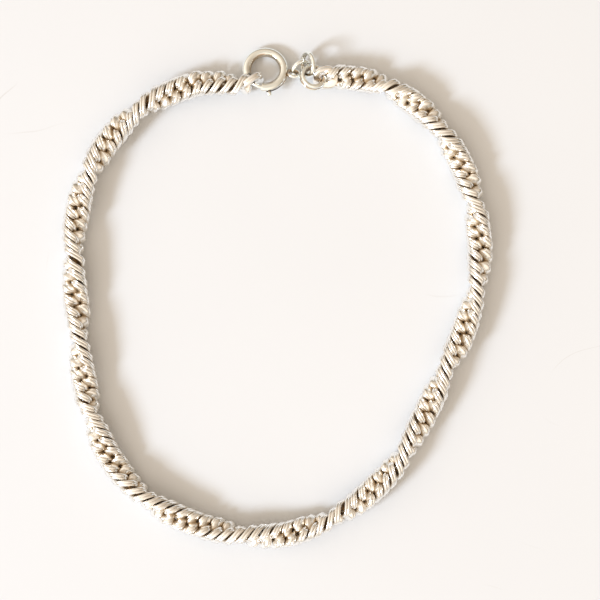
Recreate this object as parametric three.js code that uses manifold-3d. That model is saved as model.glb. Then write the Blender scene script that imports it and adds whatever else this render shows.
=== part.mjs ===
// A silver bracelet: a twisted chain of paired rings, closed by a spring ring clasp.
// Millimetres, +Z up. It lies fastened on the plane z = 0, which it touches with its chain.
import * as THREE from 'three';
import { mergeVertices } from 'three/addons/utils/BufferGeometryUtils.js';
import Module from 'manifold-3d';

const wasm = await Module();
wasm.setup();

// ---- Driving dimensions ----

// The chain's middle line, seen from above, from the clasp's tongue round to the end ring.
const route = [
  { x: -1.5, y: 29.85 },
  { x: -3.15, y: 28.9 },
  { x: -5.0, y: 28.35 },
  { x: -7.8, y: 28.5 },
  { x: -11.3, y: 28.2 },
  { x: -17.2, y: 25.7 },
  { x: -22.0, y: 21.4 },
  { x: -25.3, y: 15.9 },
  { x: -26.9, y: 9.8 },
  { x: -27.1, y: 3.4 },
  { x: -26.6, y: -3.0 },
  { x: -26.0, y: -9.4 },
  { x: -24.7, y: -15.7 },
  { x: -22.2, y: -21.6 },
  { x: -18.0, y: -26.5 },
  { x: -12.4, y: -29.7 },
  { x: -6.2, y: -31.6 },
  { x: 0.2, y: -31.9 },
  { x: 6.4, y: -30.1 },
  { x: 11.9, y: -26.6 },
  { x: 16.3, y: -21.9 },
  { x: 19.5, y: -16.3 },
  { x: 22.2, y: -10.5 },
  { x: 24.9, y: -4.7 },
  { x: 26.7, y: 1.5 },
  { x: 27.0, y: 7.9 },
  { x: 25.9, y: 14.2 },
  { x: 23.3, y: 20.1 },
  { x: 19.2, y: 25.0 },
  { x: 13.9, y: 28.3 },
  { x: 8.6, y: 29.3 },
  { x: 6.2, y: 29.2 },
  { x: 4.6, y: 29.0 },
];

// Distances along the route at which the links lie flat. The chain turns half a turn from each
// to the next, and the first and last distance are past its ends.
const flatAt = [-6, 11.2, 23.2, 33.9, 45.5, 56.2, 66.6, 81.6, 95.0,
  107.2, 121.0, 131.9, 144.8, 155.0, 165.5, 173.9, 190.8];

const link = {
  count: 108,
  first: 2.2,         // distance along the route of the first link's centre
  last: 178.6,        // and of the last link's
  endPitch: 1.8,      // from the first to the second, which are pulled apart, as the last two are
  length: 2.65,       // between the wire centres, along the chain
  width: 2.8,         // between the wire centres, across the chain
  twist: 118,         // degrees from one end of a link to the other
  endTwist: 80,       // the same for the first link and the last
  sway: 0.06,         // how far alternate links sit to either side, each leaning on the next
  wire: 0.53,
  pair: 0.96,         // thickness of the two rings that make a link
  sides: 10,
  wireSides: 5,
};
// The two halves of the chain meet before this link, on slimmer links that hang clear.
const meeting = { at: 55, slim: 0.85 };
const restSink = 0.08;  // depth of the flats worn where the chain rests

const clasp = {
  x: -1.6, y: 30.4,
  lean: 12,           // degrees, its south side up
  radius: 2.45,
  tube: 1.1,
  bore: 0.74,
  gate: { from: 197, to: 260 },
  slot: { from: 273, to: 334, height: 0.42 },
};
const eye = { at: -8, reach: 3.85, radius: 0.8, wire: 0.48 };
const tongue = { tip: 193, root: 288, wire: 0.5, knobAt: 280, knobReach: 3.45, knob: 0.72, post: 0.3 };

// The rings between the clasp's eye and the chain: centre, the way each faces, and its section.
const jumpRings = [
  { name: 'eye_ring', x: 3.25, y: 30.51, z: 1.22, facing: [-0.388, 0.676, -0.627],
    radius: 1.2, wire: 0.52, broad: 1 },
  { name: 'middle_ring', x: 4.12, y: 30.95, z: 2.07, facing: [-0.875, -0.104, 0.473],
    radius: 1.5, wire: 0.58, broad: 1 },
  { name: 'end_ring', x: 4.84, y: 29.21, z: 2.15, facing: [0.203, 0.334, 0.92],
    radius: 1.5, wire: 0.54, broad: 2 },
];

const degree = Math.PI / 180;
const turn = 2 * Math.PI;
const silver = { color: 0xdedad2, metalness: 1, roughness: 0.18 };

// ---- Solids ----

// A closed three.js geometry as a manifold, and back.
function solid(geometry) {
  geometry.deleteAttribute('normal');
  geometry.deleteAttribute('uv');
  const merged = mergeVertices(geometry, 1e-5);
  return new wasm.Manifold(new wasm.Mesh({
    numProp: 3,
    vertProperties: new Float32Array(merged.attributes.position.array),
    triVerts: new Uint32Array(merged.index.array),
  }));
}

function geometryOf(manifold) {
  const { vertProperties, triVerts } = manifold.getMesh();
  const geometry = new THREE.BufferGeometry();
  geometry.setAttribute('position', new THREE.BufferAttribute(vertProperties, 3));
  geometry.setIndex(new THREE.BufferAttribute(triVerts, 1));
  geometry.computeVertexNormals();
  return geometry;
}

function ring(radius, wire, around, wireSides) {
  return new THREE.TorusGeometry(radius, wire / 2, wireSides, around);
}

// A flat sector, from the axis out to reach, between two angles in degrees.
function sector({ from, to }, reach, height) {
  const shape = new THREE.Shape();
  shape.absarc(0, 0, reach, from * degree, to * degree);
  shape.lineTo(0, 0);
  const settings = { depth: height, bevelEnabled: false, curveSegments: 12 };
  return new THREE.ExtrudeGeometry(shape, settings).translate(0, 0, -height / 2);
}

// ---- Chain ----

const line = new THREE.CatmullRomCurve3(route.map(({ x, y }) => new THREE.Vector3(x, y, 0)));
line.curveType = 'centripetal';
line.arcLengthDivisions = 4000;
const chainHeight = (link.width + link.wire) / 2 - restSink;

// The angle from level of the links' width at a distance along the route.
function turnAt(distance) {
  const past = flatAt.findIndex((flat) => flat > distance);
  const share = (distance - flatAt[past - 1]) / (flatAt[past] - flatAt[past - 1]);
  return -Math.PI * (past - 1 + share);
}

function linkAt(index) {
  const inner = link.count - 3;
  const pitch = (link.last - link.first - 2 * link.endPitch) / inner;
  if (index === 0) return link.first;
  if (index === link.count - 1) return link.last;
  return link.first + link.endPitch + (index - 1) * pitch;
}

// A point of a link's twisted ring, with the directions along its wire's section.
function wirePoint(index, around) {
  const centre = linkAt(index);
  const along = (link.length / 2) * Math.cos(around);
  const out = (link.width / 2) * Math.sin(around);
  const distance = centre + along;
  const share = distance / line.getLength();
  const ahead = line.getTangentAt(share);
  const left = new THREE.Vector3(-ahead.y, ahead.x, 0);
  const up = new THREE.Vector3(0, 0, 1);
  const atEnd = index === 0 || index === link.count - 1;
  const ownTwist = -((atEnd ? link.endTwist : link.twist) * degree) / link.length;
  const angle = turnAt(distance) + ownTwist * along;
  const twist = ownTwist + (turnAt(centre + 1) - turnAt(centre - 1)) / 2;
  const radial = left.clone().multiplyScalar(Math.cos(angle)).addScaledVector(up, Math.sin(angle));
  const across = left.clone().multiplyScalar(-Math.sin(angle)).addScaledVector(up, Math.cos(angle));
  const face = across.clone().addScaledVector(ahead, -out * twist).normalize();
  const wire = radial.clone().multiplyScalar((link.width / 2) * Math.cos(around))
    .addScaledVector(ahead, -(link.length / 2) * Math.sin(around))
    .addScaledVector(across, -out * twist * (link.length / 2) * Math.sin(around)).normalize();
  const side = new THREE.Vector3().crossVectors(wire, face);
  const point = line.getPointAt(share).addScaledVector(up, chainHeight)
    .addScaledVector(radial, out)
    .addScaledVector(across, index % 2 === 0 ? -link.sway : link.sway);
  return { point, face, side };
}

// Two rings side by side, as one closed loop of a flattened section.
function chainLink(index) {
  const { sides, wireSides } = link;
  const meets = index === meeting.at || index === meeting.at - 1;
  const slim = meets ? meeting.slim : 1;
  const corners = [];
  for (let i = 0; i < sides; i += 1) {
    const { point, face, side } = wirePoint(index, turn * (i + 0.5) / sides);
    for (let j = 0; j < wireSides; j += 1) {
      const angle = turn * (j + 0.5) / wireSides;
      corners.push(point.clone()
        .addScaledVector(side, Math.cos(angle) * slim * link.wire / 2)
        .addScaledVector(face, Math.sin(angle) * slim * link.pair / 2));
    }
  }
  const triangles = [];
  for (let i = 0; i < sides; i += 1) {
    for (let j = 0; j < wireSides; j += 1) {
      const here = [i * wireSides + j, i * wireSides + (j + 1) % wireSides];
      const next = here.map((corner) => (corner + wireSides) % (sides * wireSides));
      triangles.push(here[0], next[0], here[1], here[1], next[0], next[1]);
    }
  }
  const geometry = new THREE.BufferGeometry().setFromPoints(corners);
  geometry.setIndex(triangles);
  return solid(geometry);
}

// Links joined where they touch, with small flats where they stand on z = 0.
function chain(from, to) {
  const links = Array.from({ length: to - from }, (_, index) => chainLink(from + index));
  const below = solid(new THREE.BoxGeometry(100, 100, 10).translate(0, 0, -5));
  return wasm.Manifold.union(links).subtract(below);
}

// ---- Clasp ----

// The hollow ring with its gate, the slot for the tongue's knob, and the eye soldered on.
function springRing() {
  const { radius, tube, bore, gate, slot } = clasp;
  const slotReach = radius + tube;
  const inner = solid(new THREE.CylinderGeometry(radius, radius, tube, 36).rotateX(Math.PI / 2));
  const cuts = [
    solid(ring(radius, bore, 36, 8)),
    solid(sector(gate, slotReach, tube * 2)),
    solid(sector(slot, slotReach, slot.height)).subtract(inner),
  ];
  const hollow = cuts.reduce((body, cut) => body.subtract(cut), solid(ring(radius, tube, 36, 10)));
  const at = eye.at * degree;
  const loop = ring(eye.radius, eye.wire, 16, 6);
  loop.translate(eye.reach * Math.cos(at), eye.reach * Math.sin(at), 0);
  return hollow.add(solid(loop));
}

// The bolt that closes the gate from inside the ring, with its thumb knob.
function springTongue() {
  const { tip, root, wire, knobAt, knobReach, knob, post } = tongue;
  const { radius } = clasp;
  const middle = new THREE.EllipseCurve(0, 0, radius, radius, tip * degree, root * degree);
  const spine = new THREE.CatmullRomCurve3(
    middle.getPoints(12).map(({ x, y }) => new THREE.Vector3(x, y, 0)),
  );
  const section = new THREE.Shape(new THREE.EllipseCurve(0, 0, wire / 2, wire / 2).getPoints(8));
  const bolt = new THREE.ExtrudeGeometry(section, { steps: 14, extrudePath: spine });
  const at = knobAt * degree;
  const length = knobReach - radius;
  const stem = new THREE.CylinderGeometry(post / 2, post / 2, length, 8);
  stem.translate(0, radius + length / 2, 0).rotateZ(at - Math.PI / 2);
  const ball = new THREE.SphereGeometry(knob / 2, 12, 8);
  ball.translate(knobReach * Math.cos(at), knobReach * Math.sin(at), 0);
  return [stem, ball].reduce((body, part) => body.add(solid(part)), solid(bolt));
}

// A round ring, or one of two turns of wire lying side by side.
function jumpRing({ radius, wire, broad }) {
  return ring(radius, wire, 16, 6).scale(1, 1, broad);
}

// ---- Assembly ----

function named(name, geometry) {
  const mesh = new THREE.Mesh(geometry, new THREE.MeshStandardMaterial(silver));
  mesh.name = name;
  return mesh;
}

const bracelet = new THREE.Group();
bracelet.add(named('chain_left', geometryOf(chain(0, meeting.at))));
bracelet.add(named('chain_right', geometryOf(chain(meeting.at, link.count))));

const claspGroup = new THREE.Group();
claspGroup.add(named('spring_ring', geometryOf(springRing())));
claspGroup.add(named('spring_tongue', geometryOf(springTongue())));
const lowest = clasp.tube / 2 + clasp.radius * Math.sin(clasp.lean * degree);
claspGroup.position.set(clasp.x, clasp.y, lowest);
claspGroup.rotation.x = -clasp.lean * degree;
bracelet.add(claspGroup);

for (const row of jumpRings) {
  const mesh = named(row.name, jumpRing(row));
  mesh.position.set(row.x, row.y, row.z);
  const facing = new THREE.Vector3(...row.facing).normalize();
  mesh.quaternion.setFromUnitVectors(new THREE.Vector3(0, 0, 1), facing);
  bracelet.add(mesh);
}

export default bracelet;
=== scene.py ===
"""A silver bracelet: a twisted chain of paired rings, closed by a spring ring clasp."""
import math
import random

import bmesh
import bpy
from mathutils import Matrix, Vector
from mathutils.bvhtree import BVHTree


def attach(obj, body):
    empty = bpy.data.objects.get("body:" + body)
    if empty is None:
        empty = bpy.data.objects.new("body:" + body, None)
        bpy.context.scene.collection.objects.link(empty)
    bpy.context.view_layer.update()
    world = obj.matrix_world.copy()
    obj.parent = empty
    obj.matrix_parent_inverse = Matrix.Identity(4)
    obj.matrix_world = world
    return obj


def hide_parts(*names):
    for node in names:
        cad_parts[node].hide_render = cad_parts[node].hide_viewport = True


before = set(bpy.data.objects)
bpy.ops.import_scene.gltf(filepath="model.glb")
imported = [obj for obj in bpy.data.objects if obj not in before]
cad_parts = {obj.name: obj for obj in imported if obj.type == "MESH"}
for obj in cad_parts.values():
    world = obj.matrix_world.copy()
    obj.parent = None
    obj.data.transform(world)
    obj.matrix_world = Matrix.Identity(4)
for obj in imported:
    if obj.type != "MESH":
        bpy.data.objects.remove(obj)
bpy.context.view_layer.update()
bpy.ops.object.select_all(action="DESELECT")


# ---- Camera ----
# A camera held level over the bracelet, about two hands' width above the table, with the
# whole loop in view.
mm = 0.001
scene = bpy.context.scene
view_centre = Vector((3.07, -0.47, 0.0)) * mm
view_width = 80.95 * mm
view_height = 189 * mm
sensor_width = 36
bpy.ops.object.camera_add(location=view_centre + Vector((0, 0, view_height)),
                          rotation=(0, 0, 0))
camera = bpy.context.object
camera.data.sensor_width = sensor_width
camera.data.lens = sensor_width * view_height / view_width
camera.data.clip_start, camera.data.clip_end = 0.01, 10
scene.camera = camera


# ---- Table surface ----
# A sheet of smooth pale card, far wider than the bracelet, which lies on it. The card is
# faintly clouded and has a few fine scuffs.
class Value:
    """A node's output socket, so that shader maths reads as Python."""

    def __init__(self, tree, socket=None):
        self.tree, self.socket = tree, socket

    def node(self, kind, values=(), output=0, **settings):
        """Adds a node with its settings and socket values, and gives one of its outputs."""
        made = self.tree.nodes.new(kind)
        for name, setting in settings.items():
            setattr(made, name, setting)
        pairs = values.items() if isinstance(values, dict) else enumerate(values)
        for name, value in pairs:
            if isinstance(value, Value):
                self.tree.links.new(value.socket, made.inputs[name])
            else:
                made.inputs[name].default_value = value
        return Value(self.tree, made.outputs[output])

    def __add__(self, other):
        return self.node("ShaderNodeMath", [self, other], operation="ADD")

    def __sub__(self, other):
        return self.node("ShaderNodeMath", [self, other], operation="SUBTRACT")

    def __rsub__(self, other):
        return self.node("ShaderNodeMath", [other, self], operation="SUBTRACT")

    def __mul__(self, other):
        return self.node("ShaderNodeMath", [self, other], operation="MULTIPLY")

    def __abs__(self):
        return self.node("ShaderNodeMath", [self], operation="ABSOLUTE")

    __radd__ = __add__
    __rmul__ = __mul__

    def ramp(self, low, high):
        """0 below low and 1 above high, smoothly."""
        return self.node("ShaderNodeMapRange",
                         {"Value": self, "From Min": low, "From Max": high},
                         interpolation_type="SMOOTHSTEP")

    def noise(self, scale, detail):
        """A cloudy pattern from 0 to 1, where this value is a place."""
        return self.node("ShaderNodeTexNoise",
                         {"Vector": self, "Scale": scale, "Detail": detail})

    def colour(self, low, high):
        """The colour low where this value is 0, and high where it is 1."""
        low, high = (end if isinstance(end, Value) else (*end, 1) for end in (low, high))
        return self.node("ShaderNodeMix", {"Factor": self, "A": low, "B": high}, output=2,
                         data_type="RGBA")

    def feed(self, shader, name):
        """Links this value to one of the shader's sockets."""
        self.tree.links.new(self.socket, shader.inputs[name])


def new_material(name):
    """A new material with its shader, and the place on the piece that its patterns read."""
    material = bpy.data.materials.new(name)
    material.use_nodes = True
    tree = material.node_tree
    place = Value(tree).node("ShaderNodeTexCoord", output=3)
    return material, tree.nodes["Principled BSDF"], place


card_size = 2
bpy.ops.mesh.primitive_plane_add(size=card_size, location=(0, 0, 0))
card = bpy.context.object
card.name = "table_surface"
card_material, shader, place = new_material("pale_card")
cloud = place.noise(30.0, 2.0)
clean = cloud.colour((0.717, 0.728, 0.742), (0.741, 0.752, 0.767))
ridge = place.noise(45.0, 1.0)
patch = place.noise(70.0, 1.0)
scuff_width = 0.003
scuff = (scuff_width - abs(ridge - 0.5)).ramp(0.0, scuff_width) * patch.ramp(0.62, 0.72)
(scuff * 0.35).colour(clean, (0.5, 0.47, 0.43)).feed(shader, "Base Color")
shader.inputs["Roughness"].default_value = 0.7
shader.inputs["Specular IOR Level"].default_value = 0.2
card.data.materials.append(card_material)


# ---- Chain ----
# A curb chain twisted along its length. Each link is two round rings of silver wire side by
# side, bent to the twist and soldered shut, and hooks through the links before and after it.
route = [
    (-1.5, 29.85), (-3.15, 28.9), (-5.0, 28.35), (-7.8, 28.5), (-11.3, 28.2), (-17.2, 25.7),
    (-22.0, 21.4), (-25.3, 15.9), (-26.9, 9.8), (-27.1, 3.4), (-26.6, -3.0), (-26.0, -9.4),
    (-24.7, -15.7), (-22.2, -21.6), (-18.0, -26.5), (-12.4, -29.7), (-6.2, -31.6), (0.2, -31.9),
    (6.4, -30.1), (11.9, -26.6), (16.3, -21.9), (19.5, -16.3), (22.2, -10.5), (24.9, -4.7),
    (26.7, 1.5), (27.0, 7.9), (25.9, 14.2), (23.3, 20.1), (19.2, 25.0), (13.9, 28.3),
    (8.6, 29.3), (6.2, 29.2), (4.6, 29.0),
]
# Distances along the route at which the links lie flat, half a turn apart.
flat_at = [-6, 11.2, 23.2, 33.9, 45.5, 56.2, 66.6, 81.6, 95.0,
           107.2, 121.0, 131.9, 144.8, 155.0, 165.5, 173.9, 190.8]
# How many links there are and how many of them lie on the left, and the distances of the
# first and last along the route. The end links have a pitch of their own.
link_count, left_count, link_first, link_last, link_end_pitch = 108, 55, 2.2, 178.6, 1.8
# A link's length and width between wire centres, and its twist from end to end in degrees.
# A squareness of 1 is a plain oval, and less is squarer. Its outside is worn flat at the
# width and height that follow.
link_length, link_width, link_twist, end_twist = 3.0, 3.15, 152, 20
squareness = 0.8
flat_width, flat_height = 3.6, 2.45
# The wire, the gap between the two rings' centres, and how many times thicker each ring is
# towards its hole. The steps are round the ring and round the wire.
wire, pair_gap, inward = 0.44, 0.36, 4.5
ring_steps, wire_steps = 28, 8
# How far a link may roll and swing in degrees, the least and greatest share of its width and
# height, and how far off other silver still shelters it. The silver's colour goes brown where
# it is sheltered: partly tarnish in the hollows, partly painted shade.
loose_roll, loose_swing = 7, 5
loose_width, loose_height = (0.95, 1.0), (1.04, 1.16)
link_shelter, link_smooth = 1, math.radians(80)
chain_height = 1.86
route_step = 0.25


def along_route(step):
    """Points at equal small steps along the smooth line through the route's points."""
    fine_steps = 200
    points = [Vector(point) for point in route]
    points = [points[0] * 2 - points[1], *points, points[-1] * 2 - points[-2]]
    dense = []
    for before, start, end, after in zip(points, points[1:], points[2:], points[3:]):
        gaps = [(b - a).length ** 0.5
                for a, b in ((before, start), (start, end), (end, after))]
        slope_start = (start - before) / gaps[0] - (end - before) / (gaps[0] + gaps[1]) \
            + (end - start) / gaps[1]
        slope_end = (end - start) / gaps[1] - (after - start) / (gaps[1] + gaps[2]) \
            + (after - end) / gaps[2]
        a, b = slope_start * gaps[1], slope_end * gaps[1]
        for i in range(fine_steps):
            t = i / fine_steps
            dense.append(start + a * t + (3 * (end - start) - 2 * a - b) * t ** 2
                         + (2 * (start - end) + a + b) * t ** 3)
    dense.append(points[-2])
    even, reach, target = [dense[0]], 0.0, step
    for a, b in zip(dense, dense[1:]):
        gap = (b - a).length
        while reach + gap >= target:
            even.append(a.lerp(b, (target - reach) / gap))
            target += step
        reach += gap
    return even


route_line = along_route(route_step)


def turn_at(distance):
    """The chain's turn about its own line at a distance along the route, in radians."""
    past = next(i for i, flat in enumerate(flat_at) if flat > distance)
    share = (distance - flat_at[past - 1]) / (flat_at[past] - flat_at[past - 1])
    return -math.pi * (past - 1 + share)


def link_at(index):
    """A link's distance along the route."""
    if index == 0:
        return link_first
    if index == link_count - 1:
        return link_last
    pitch = (link_last - link_first - 2 * link_end_pitch) / (link_count - 3)
    return link_first + link_end_pitch + (index - 1) * pitch


def make_link(name, twist):
    """Two rings side by side, shaped to the link and turned along its length."""
    rate = -math.radians(twist) / link_length
    made = bmesh.new()
    for side in (-pair_gap / 2, pair_gap / 2):
        bpy.ops.mesh.primitive_torus_add(major_radius=1, minor_radius=wire / 2,
                                         major_segments=ring_steps, minor_segments=wire_steps)
        ring = bpy.context.object
        for vertex in ring.data.vertices:
            around = math.atan2(vertex.co.y, vertex.co.x)
            proud = math.hypot(vertex.co.x, vertex.co.y) - 1
            proud *= 1 if proud > 0 else inward
            along, out = (size / 2 * math.copysign(abs(reach) ** squareness, reach)
                          for size, reach in ((link_length, math.cos(around)),
                                              (link_width, math.sin(around))))
            away = Vector((math.cos(around) / link_length, math.sin(around) / link_width))
            away.normalize()
            along, out = along + away.x * proud, out + away.y * proud
            angle = rate * along
            face = Vector((-out * rate, -math.sin(angle), math.cos(angle))).normalized()
            vertex.co = Vector((along, out * math.cos(angle), out * math.sin(angle))) \
                + face * (side + vertex.co.z)
            vertex.co.y = min(max(vertex.co.y, -flat_width / 2), flat_width / 2)
            vertex.co.z = min(max(vertex.co.z, -flat_height / 2), flat_height / 2)
        made.from_mesh(ring.data)
        bpy.data.objects.remove(ring)
    link = bpy.data.meshes.new(name)
    made.to_mesh(link)
    made.free()
    return link


def lay_on_route(link, distance, into, chance):
    """Adds a copy of the link to a mesh, at a distance along the route and turned with it."""
    start = len(into.verts)
    into.from_mesh(link)
    into.verts.ensure_lookup_table()
    step = int(distance / route_step)
    here, ahead = route_line[step], route_line[step + 1]
    middle = (here + (ahead - here) * (distance / route_step - step)).to_3d()
    middle.z = chain_height
    along = (ahead - here).normalized().to_3d()
    left = Vector((-along.y, along.x, 0))
    roll = turn_at(distance) + math.radians(chance.uniform(-loose_roll, loose_roll))
    swing = math.radians(chance.uniform(-loose_swing, loose_swing))
    sizes = (1, chance.uniform(*loose_width), chance.uniform(*loose_height))
    across = left * math.cos(roll) + Vector((0, 0, math.sin(roll)))
    turn = Matrix((along, across, along.cross(across))).transposed() \
        @ Matrix.Rotation(swing, 3, "Z") @ Matrix.Diagonal(sizes)
    for vertex in into.verts[start:]:
        vertex.co = (turn @ vertex.co + middle) * mm


def mark_shelter(mesh, reach):
    """Marks how far silver within reach shuts in each place, from 0 open to 1 closed."""
    around = BVHTree.FromPolygons([vertex.co for vertex in mesh.vertices],
                                  [face.vertices for face in mesh.polygons])
    ray_count, ray_turn, ray_start = 16, 2.4, 0.03 * mm
    rays = []
    for i in range(ray_count):
        height = (i + 0.5) / ray_count
        level = math.sqrt(1 - height ** 2)
        rays.append(Vector((level * math.cos(ray_turn * i), level * math.sin(ray_turn * i),
                            height)))
    # This mark sets the painted shade in the silver's colour, where other silver shuts a place
    # in.
    shelter = mesh.attributes.new("shelter", "FLOAT", "POINT")
    for vertex, mark in zip(mesh.vertices, shelter.data):
        turn = vertex.normal.to_track_quat("Z", "Y")
        start = vertex.co + vertex.normal * ray_start
        hits = [around.ray_cast(start, turn @ ray, reach * mm)[0] is not None for ray in rays]
        mark.value = sum(hits) / ray_count


def scratch(place, shader, scale, strength):
    """Fine scratches in the silver, of a hundredth of a millimetre or two."""
    scratches = place.noise(scale, 2.0)
    place.node("ShaderNodeBump", {"Strength": strength, "Distance": 0.02 * mm,
                                  "Height": scratches}).feed(shader, "Normal")


silver, shader, place = new_material("worn_silver")
# The chain is painted brown where other silver shuts it in, from the shelter mark: partly
# tarnish in its hollows, partly painted shade. The broad patches darken it further as painted
# dark reflections.
shelter = place.node("ShaderNodeAttribute", output=2, attribute_name="shelter")
mottle = place.noise(900.0, 3.0)
patches = place.noise(260.0, 1.0)
tarnish_and_painted_shade = (shelter + (mottle - 0.5) * 0.2 + (patches - 0.5) * 0.5).ramp(0.28, 0.78)
tarnish_and_painted_shade.colour((0.98, 0.97, 0.945), (0.60, 0.49, 0.35)).feed(shader, "Base Color")
(0.12 + tarnish_and_painted_shade * 0.2 + patches * 0.2).feed(shader, "Roughness")
scratch(place, shader, 4000.0, 0.15)
shader.inputs["Metallic"].default_value = 1.0

link = make_link("link", link_twist)
end_link = make_link("end_link", end_twist)
chance = random.Random(3)
for name, replaced, first, last in (("left_chain_links", "chain_left", 0, left_count),
                                    ("right_chain_links", "chain_right", left_count,
                                     link_count)):
    made = bmesh.new()
    for index in range(first, last):
        shape = end_link if index in (0, link_count - 1) else link
        lay_on_route(shape, link_at(index), made, chance)
    mesh = bpy.data.meshes.new(name)
    made.to_mesh(mesh)
    made.free()
    mark_shelter(mesh, link_shelter)
    links = bpy.data.objects.new(name, mesh)
    scene.collection.objects.link(links)
    mesh.materials.append(silver)
    bpy.ops.object.select_all(action="DESELECT")
    bpy.context.view_layer.objects.active = links
    links.select_set(True)
    bpy.ops.object.shade_smooth_by_angle(angle=link_smooth)
    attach(links, "bracelet")
    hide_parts(replaced)
for pattern in (link, end_link):
    bpy.data.meshes.remove(pattern)


# ---- Spring ring clasp ----
# A hollow ring of thin silver tube, with a gate for the chain's end link and a slot for the
# tongue's knob, and a wire eye soldered to its side.
clasp_centre, clasp_lean = Vector((-1.6, 30.4, 1.145)) * mm, math.radians(-12)
clasp_place = Matrix.Translation(clasp_centre) @ Matrix.Rotation(clasp_lean, 4, "X") \
    @ Matrix.Scale(mm, 4)
clasp_radius, tube, bore = 2.5, 1.24, 0.76
gate_from, gate_to, gate_inner, gate_height = 197, 260, 1.5, 1.4
slot_from, slot_to, slot_height = 273, 334, 0.42
cut_steps = 24
eye_reach, eye_at, eye_radius, eye_wire = 3.85, math.radians(-8), 0.8, 0.48
eye_lean = math.radians(40)
# How far off other silver shuts in the clasp's places, for the painted shade in its colour.
clasp_shelter = 4


def sweep(profile, start, end, steps, name):
    """Turns a flat profile standing on the X axis round the Z axis, into a closed solid."""
    profile.name = name
    bpy.ops.object.select_all(action="DESELECT")
    bpy.context.view_layer.objects.active = profile
    profile.select_set(True)
    bpy.ops.object.transform_apply(location=True, rotation=True, scale=True)
    profile.data.transform(Matrix.Rotation(math.radians(start), 4, "Z"))
    bpy.ops.object.mode_set(mode="EDIT")
    bpy.ops.mesh.select_all(action="SELECT")
    bpy.ops.mesh.spin(steps=steps, angle=math.radians(start - end), center=(0, 0, 0),
                      axis=(0, 0, 1))
    bpy.ops.mesh.select_all(action="SELECT")
    bpy.ops.mesh.remove_doubles(threshold=1e-5)
    bpy.ops.mesh.normals_make_consistent(inside=False)
    bpy.ops.object.mode_set(mode="OBJECT")
    return profile


def combine(body, other, operation):
    """Joins another solid to the body or cuts it away."""
    bpy.ops.object.select_all(action="DESELECT")
    bpy.context.view_layer.objects.active = body
    body.select_set(True)
    cut = body.modifiers.new("combine", "BOOLEAN")
    cut.operation, cut.object, cut.solver = operation, other, "EXACT"
    bpy.ops.object.modifier_apply(modifier=cut.name)
    bpy.data.objects.remove(other)


def soften(body, width):
    """Rounds the body's sharp edges and smooths its faces."""
    sharp, steps = math.radians(40), 3
    bpy.ops.object.select_all(action="DESELECT")
    bpy.context.view_layer.objects.active = body
    body.select_set(True)
    bevel = body.modifiers.new("soften", "BEVEL")
    bevel.width, bevel.segments, bevel.angle_limit = width, steps, sharp
    bpy.ops.object.modifier_apply(modifier=bevel.name)
    bpy.ops.object.shade_smooth_by_angle(angle=sharp)


def settle(body, transform, material):
    """Puts a finished piece in its place on the bracelet, and gives it its silver."""
    body.data.transform(transform)
    body.data.materials.clear()
    body.data.materials.append(material)
    mark_shelter(body.data, clasp_shelter)


bright, shader, place = new_material("bright_silver")
mottle = place.noise(420.0, 2.0)
shelter = place.node("ShaderNodeAttribute", output=2, attribute_name="shelter")
# The clasp and rings are painted brown where other silver within clasp_shelter shuts them in:
# painted shade, with some tarnish in the hollows.
tarnish_and_painted_shade = (shelter + (mottle - 0.5) * 0.3).ramp(0.03, 0.27)
tarnish_and_painted_shade.colour((0.95, 0.985, 0.965), (0.47, 0.37, 0.26)).feed(shader, "Base Color")
(0.05 + mottle * 0.16).feed(shader, "Roughness")
scratch(place, shader, 3000.0, 0.12)
shader.inputs["Metallic"].default_value = 1.0

bpy.ops.mesh.primitive_torus_add(major_radius=clasp_radius, minor_radius=tube / 2,
                                 major_segments=96, minor_segments=24)
spring_ring = bpy.context.object
spring_ring.name = "clasp_ring"
bpy.ops.mesh.primitive_torus_add(major_radius=clasp_radius, minor_radius=bore / 2,
                                 major_segments=72, minor_segments=16)
combine(spring_ring, bpy.context.object, "DIFFERENCE")
outer = clasp_radius + tube
for name, start, end, inner, height in (
        ("gate_cut", gate_from, gate_to, gate_inner, gate_height),
        ("slot_cut", slot_from, slot_to, clasp_radius, slot_height)):
    bpy.ops.mesh.primitive_plane_add(size=1, rotation=(math.pi / 2, 0, 0),
                                     location=((inner + outer) / 2, 0, 0))
    cutter = bpy.context.object
    cutter.scale = (outer - inner, height, 1)
    combine(spring_ring, sweep(cutter, start, end, cut_steps, name), "DIFFERENCE")
bpy.ops.mesh.primitive_torus_add(
    major_radius=eye_radius, minor_radius=eye_wire / 2, major_segments=40, minor_segments=16,
    location=(eye_reach * math.cos(eye_at), eye_reach * math.sin(eye_at), 0),
    rotation=(-eye_lean, 0, eye_at))
combine(spring_ring, bpy.context.object, "UNION")
soften(spring_ring, 0.05)
settle(spring_ring, clasp_place, bright)
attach(spring_ring, "bracelet")
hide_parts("spring_ring")


# ---- Clasp tongue ----
# A curved bolt of silver wire that slides in the tube, with a ball knob on a short post. It
# is pushed shut by a spring that stays hidden in the tube.
tongue_tip, tongue_root, tongue_wire, tongue_steps = 193, 288, 0.5, 36
knob_at, knob_reach, knob, post = math.radians(280), 3.45, 0.72, 0.3
bpy.ops.mesh.primitive_circle_add(vertices=16, radius=tongue_wire / 2, fill_type="NGON",
                                  rotation=(math.pi / 2, 0, 0), location=(clasp_radius, 0, 0))
bolt = sweep(bpy.context.object, tongue_tip, tongue_root, tongue_steps, "clasp_tongue")
post_reach = (clasp_radius + knob_reach) / 2
bpy.ops.mesh.primitive_cylinder_add(
    vertices=16, radius=post / 2, depth=knob_reach - clasp_radius,
    location=(post_reach * math.cos(knob_at), post_reach * math.sin(knob_at), 0),
    rotation=(0, math.pi / 2, knob_at))
combine(bolt, bpy.context.object, "UNION")
bpy.ops.mesh.primitive_uv_sphere_add(
    segments=32, ring_count=16, radius=knob / 2,
    location=(knob_reach * math.cos(knob_at), knob_reach * math.sin(knob_at), 0))
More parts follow.
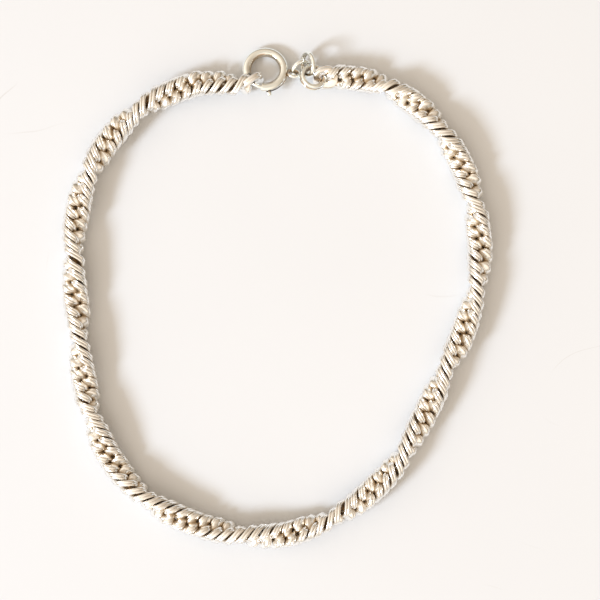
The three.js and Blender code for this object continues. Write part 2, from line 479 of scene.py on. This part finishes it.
combine(bolt, bpy.context.object, "UNION")
soften(bolt, 0.06)
settle(bolt, clasp_place, bright)
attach(bolt, "tongue")
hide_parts("spring_tongue")


# ---- Jump rings ----
# Rings of round silver wire between the clasp's eye and the chain's last link. The last is
# two turns of one wire, whose ends lie where it crosses from one turn to the other.
def facing(x, y, z, way):
    """Places a ring made flat at the origin, with its face turned a given way."""
    turn = Vector((0, 0, 1)).rotation_difference(Vector(way)).to_matrix().to_4x4()
    return Matrix.Translation(Vector((x, y, z)) * mm) @ turn @ Matrix.Scale(mm, 4)


for name, replaced, stand, radius, thickness in (
        ("clasp_eye_ring", "eye_ring",
         facing(3.25, 30.51, 1.22, (-0.388, 0.676, -0.627)), 1.2, 0.58),
        ("upright_ring", "middle_ring",
         facing(4.12, 30.95, 2.07, (-0.875, -0.104, 0.473)), 1.5, 0.6)):
    bpy.ops.mesh.primitive_torus_add(major_radius=radius, minor_radius=thickness / 2,
                                     major_segments=64, minor_segments=16)
    ring = bpy.context.object
    ring.name = name
    soften(ring, 0.01)
    settle(ring, stand, bright)
    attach(ring, "bracelet")
    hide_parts(replaced)

# Each end of the wire stops short of a whole turn by the gap, in radians. The lift sets the
# two turns apart.
coil_radius, coil_wire, coil_gap, coil_lift, coil_steps = 1.5, 0.6, 0.6, 0.306, 120
coil_stand = facing(4.84, 29.21, 2.15, (0.203, 0.334, 0.92))
coil = bpy.data.curves.new("double_ring", "CURVE")
coil.dimensions = "3D"
coil.bevel_depth, coil.bevel_resolution, coil.use_fill_caps = coil_wire / 2, 5, True
spline = coil.splines.new("POLY")
spline.points.add(coil_steps)
for i, point in enumerate(spline.points):
    turned = coil_gap + (4 * math.pi - 2 * coil_gap) * i / coil_steps
    crossing = min(max((turned - 2 * math.pi) / coil_gap, -1), 1)
    lift = coil_lift * math.sin(crossing * math.pi / 2)
    point.co = (coil_radius * math.cos(turned), coil_radius * math.sin(turned), lift, 1)
double_ring = bpy.data.objects.new("double_ring", coil)
scene.collection.objects.link(double_ring)
bpy.ops.object.select_all(action="DESELECT")
bpy.context.view_layer.objects.active = double_ring
double_ring.select_set(True)
bpy.ops.object.convert(target="MESH")
double_ring = bpy.context.object
soften(double_ring, 0.03)
settle(double_ring, coil_stand, bright)
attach(double_ring, "bracelet")
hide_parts("end_ring")


# ---- Light ----
# A window's cool light from the lower left, in a warm room that is darker on the far side.
# The room's walls are bright higher up, and the ceiling over the table is paler.
room = bpy.data.worlds.new("warm_room")
scene.world = room
room.use_nodes = True
heading = Value(room.node_tree).node("ShaderNodeTexCoord")
window_side = heading.node("ShaderNodeVectorMath", [heading, (-0.86, -0.5, 0.1)], output=1,
                           operation="DOT_PRODUCT")
up = heading.node("ShaderNodeSeparateXYZ", [heading], output=2)
far_wall = up.ramp(0.1, 0.5).colour((0.22, 0.18, 0.12), (0.62, 0.50, 0.38))
near_wall = up.ramp(0.05, 0.35).colour((0.45, 0.38, 0.28), (1.32, 1.16, 0.98))
walls = window_side.ramp(-0.6, 0.6).colour(far_wall, near_wall)
ceiling = up.ramp(0.93, 0.985).colour(walls, (0.78, 0.70, 0.59))
ceiling.feed(room.node_tree.nodes["Background"], "Color")

window_way = Vector((-1.082, -0.63, 0.826))
window_size, window_watts = 0.4, 20.8
bpy.ops.object.light_add(type="AREA", location=view_centre + window_way)
window = bpy.context.object
window.data.shape, window.data.size = "DISK", window_size
window.data.energy = window_watts
window.data.color = (0.75, 0.857, 1.0)
to_bracelet = view_centre - window.location
window.rotation_euler = to_bracelet.to_track_quat("-Z", "Y").to_euler()

scene.view_settings.view_transform = "Standard"
